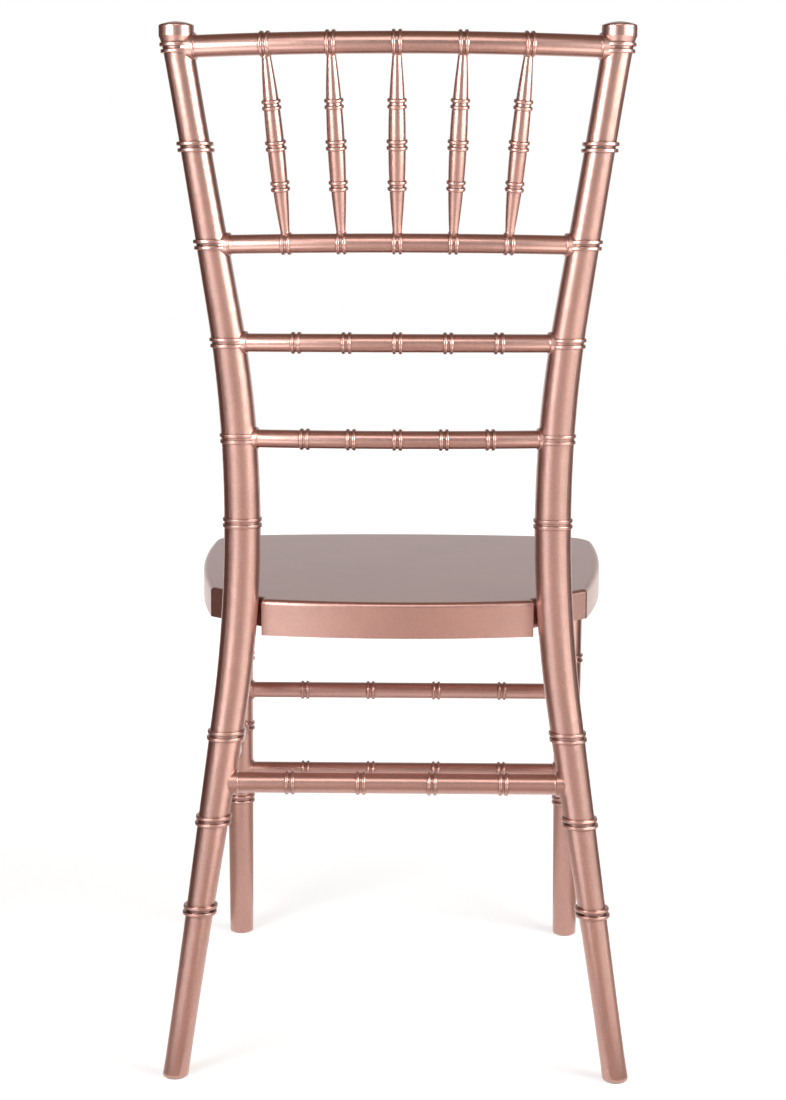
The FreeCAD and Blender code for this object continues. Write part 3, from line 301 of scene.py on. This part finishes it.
FLOOR_SIZE = 12.0
FLOOR_GREY = (0.55, 0.55, 0.55, 1.0)
FLOOR_ROUGH = 0.9

# The lamps light the floor most at this point, so it glows least there
LIT_POINT = (0.0, 0.9, 0.0)
GLOW_REACH = 2.5
NEAR_GLOW = 0.37
FAR_GLOW = 1.0


def make_world():
    world = bpy.data.worlds.new("studio")
    bpy.context.scene.world = world
    world.use_nodes = True
    tree = world.node_tree
    background = tree.nodes["Background"]
    set_inputs(background, {"Color": WHITE})
    level = tree.nodes.new("ShaderNodeMapRange")
    set_inputs(level, {"To Min": AMBIENT, "To Max": 1.0})
    tree.links.new(camera_share(tree), level.inputs["Value"])
    tree.links.new(level.outputs["Result"], background.inputs["Strength"])


def make_floor():
    """Floor that reads as white, because it glows more where the lamps reach it less."""
    bpy.ops.mesh.primitive_plane_add(size=FLOOR_SIZE, location=(0.0, 0.0, 0.0))
    floor = bpy.context.object
    floor.name = "studio_floor"
    m = Nodes("floor")
    set_inputs(m.shader, {"Base Color": FLOOR_GREY, "Roughness": FLOOR_ROUGH,
                          "Specular IOR Level": 0.0, "Emission Color": WHITE})
    away = m.add("ShaderNodeVectorMath", {"operation": "DISTANCE"})
    away.inputs[1].default_value = LIT_POINT
    m.link(m.place, away.inputs[0])
    glow = m.spread(away.outputs["Value"], NEAR_GLOW, FAR_GLOW, 0.0, GLOW_REACH)
    level = m.combine("MULTIPLY", camera_share(m.tree), glow)
    m.link(level, m.shader.inputs["Emission Strength"])
    floor.data.materials.append(m.material)


# Lamps and screens. Azimuths go round the chair: 180 is the camera's side, 90 the picture's left.

SCREEN_COLUMNS = 24
SCREEN_BLACK = (0.02, 0.02, 0.02, 1.0)


def softbox(name, azimuth, elevation, distance, width, height, watts, colour, aim):
    """Area lamp that looks at a point this high in the middle of the chair."""
    data = bpy.data.lights.new(name, "AREA")
    data.shape = "RECTANGLE"
    data.size = width
    data.size_y = height
    data.energy = watts
    data.color = colour
    lamp = bpy.data.objects.new(name, data)
    bpy.context.collection.objects.link(lamp)
    a, e = math.radians(azimuth), math.radians(elevation)
    offset = Vector((math.sin(a) * math.cos(e), -math.cos(a) * math.cos(e), math.sin(e)))
    lamp.location = Vector((0.0, 0.0, aim)) + offset * distance
    lamp.rotation_euler = (-offset).to_track_quat("-Z", "Y").to_euler()
    lamp.visible_camera = False


def put_screen(name, azimuths, foot, head, colour, diffuse):
    """Dark flag, dim wall or bright board, as a studio puts up to shape the gloss on metal.

    It bends round the chair between two azimuths. Its foot and head are each a distance from
    the chair's middle and a height. The camera doesn't see it and it casts no shadow. Where
    diffuse is False, only the gloss sees it.
    """
    start, end = azimuths
    points = []
    for distance, height in (foot, head):
        for column in range(SCREEN_COLUMNS + 1):
            a = math.radians(start + (end - start) * column / SCREEN_COLUMNS)
            points.append((math.sin(a) * distance, -math.cos(a) * distance, height))
    row = SCREEN_COLUMNS + 1
    faces = [(i, i + 1, i + row + 1, i + row) for i in range(SCREEN_COLUMNS)]
    mesh = bpy.data.meshes.new(name)
    mesh.from_pydata(points, [], faces)
    screen = bpy.data.objects.new(name, mesh)
    bpy.context.collection.objects.link(screen)
    screen.visible_camera = False
    screen.visible_shadow = False
    screen.visible_diffuse = diffuse
    m = Nodes(name)
    set_inputs(m.shader, {"Base Color": SCREEN_BLACK, "Specular IOR Level": 0.0,
                          "Emission Color": (*colour, 1.0), "Emission Strength": 1.0})
    mesh.materials.append(m.material)


# Name, azimuth, elevation, distance, width, height, watts, colour, height aimed at
LAMPS = [
    ("left_softbox", 141.0, 0.0, 1.4, 0.6, 0.6, 17.0, (0.97, 1.0, 1.0), 0.95),
    ("right_softbox", 238.0, 0.0, 1.4, 1.0, 0.6, 25.0, (0.97, 1.0, 0.97), 0.95),
    ("low_softbox", 141.0, 0.0, 1.6, 0.7, 0.5, 1.6, (0.97, 1.0, 1.0), 0.3),
    ("upper_softbox", 180.0, 40.0, 2.6, 1.4, 0.6, 12.5, (1.0, 0.93, 0.9), 0.5),
]

LEFT = (120.0, 162.0)
MIDDLE = (162.0, 205.0)
RIGHT = (205.0, 265.0)
ALL_ROUND = (0.0, 360.0)

WALL_FOOT, WALL_HEAD = (3.2, 0.0), (3.2, 4.0)
BACK_WALL_FOOT = (3.2, 0.95)
CEILING_MIDDLE = (0.0, 4.0)
FLAG_FOOT, FLAG_HEAD = (0.85, 0.0), (0.85, 1.9)
LOW_FOOT = (1.6, 0.0)
LOW_BOARD_HEAD = (1.6, 0.5)
REFLECTOR_HEAD = (1.6, 0.45)
MAT_INSIDE, MAT_OUTSIDE = (0.3, 0.004), (0.8, 0.004)
BOARD_INSIDE, BOARD_OUTSIDE = (0.8, 0.006), (2.3, 0.006)

FLAG_DARK = (0.06, 0.01, 0.0)

# Name, azimuths, foot, head, glow, whether matt surfaces see it too
SCREENS = [
    ("room_walls", (45.0, 315.0), WALL_FOOT, WALL_HEAD, (0.21, 0.26, 0.28), True),
    ("ceiling", ALL_ROUND, WALL_HEAD, CEILING_MIDDLE, (0.19, 0.1, 0.06), True),
    ("back_wall", (-45.0, 45.0), BACK_WALL_FOOT, WALL_HEAD, (0.46, 0.47, 0.48), True),
    ("left_flag", (48.0, 120.0), FLAG_FOOT, FLAG_HEAD, FLAG_DARK, True),
    ("right_flag", (272.0, 312.0), FLAG_FOOT, FLAG_HEAD, FLAG_DARK, True),
    ("low_board", MIDDLE, LOW_FOOT, LOW_BOARD_HEAD, (0.88, 0.75, 0.68), True),
    ("floor_mat", ALL_ROUND, MAT_INSIDE, MAT_OUTSIDE, (0.62, 0.52, 0.47), False),
    ("left_board", LEFT, BOARD_INSIDE, BOARD_OUTSIDE, (3.2, 3.45, 3.5), False),
    ("middle_board", MIDDLE, BOARD_INSIDE, BOARD_OUTSIDE, (0.59, 0.52, 0.5), False),
    ("right_board", RIGHT, BOARD_INSIDE, BOARD_OUTSIDE, (3.6, 3.75, 3.65), False),
    ("left_reflector", LEFT, LOW_FOOT, REFLECTOR_HEAD, (0.5, 0.52, 0.53), False),
    ("right_reflector", RIGHT, LOW_FOOT, REFLECTOR_HEAD, (0.45, 0.46, 0.45), False),
]

make_world()
make_floor()
for lamp_row in LAMPS:
    softbox(*lamp_row)
for screen_row in SCREENS:
    put_screen(*screen_row)


# View transform

bpy.context.scene.view_settings.view_transform = "Standard"
